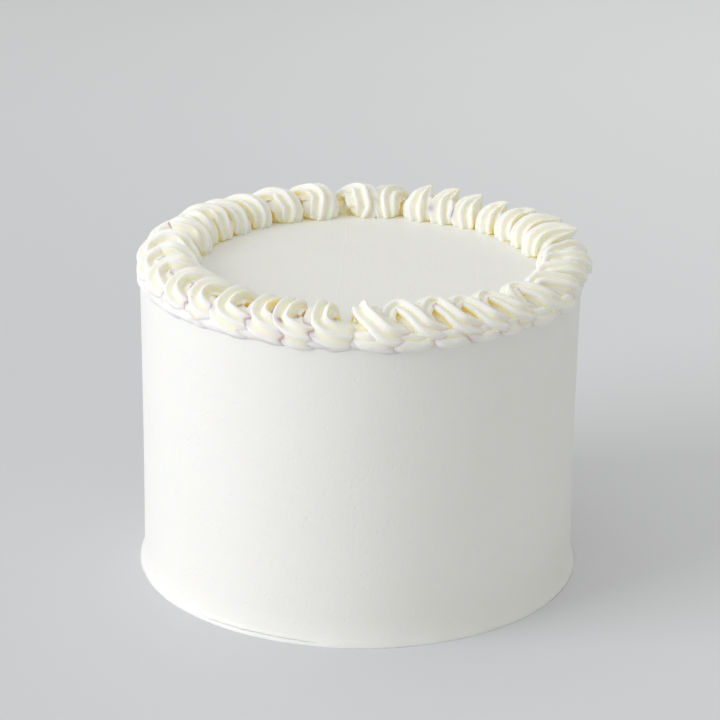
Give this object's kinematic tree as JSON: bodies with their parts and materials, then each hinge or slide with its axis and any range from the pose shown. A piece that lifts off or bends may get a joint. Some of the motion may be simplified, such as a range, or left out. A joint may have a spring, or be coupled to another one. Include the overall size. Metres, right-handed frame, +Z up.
{
  "type": "layer cake",
  "caption": "Tall round white buttercream cake with smooth sides, a flat top and a piped rope border of ridged loops round its rim.",
  "frame": {"origin": "middle of the cake's flat underside, on the surface it stands on", "axes": "+Z up; +X to the right of the picture's view, +Y away from it, with the place where the border's two runs meet at the back (+Y)"},
  "size_m": [0.166, 0.1648, 0.1242],
  "materials": {
    "smooth_icing": "smooth satin buttercream, off-white",
    "piped_icing": "ridged satin buttercream, off-white with warm yellow hollows"
  },
  "bodies": {
    "root": {"cake_body": "smooth_icing", "piped_border": "piped_icing"}
  },
  "joints": []
}
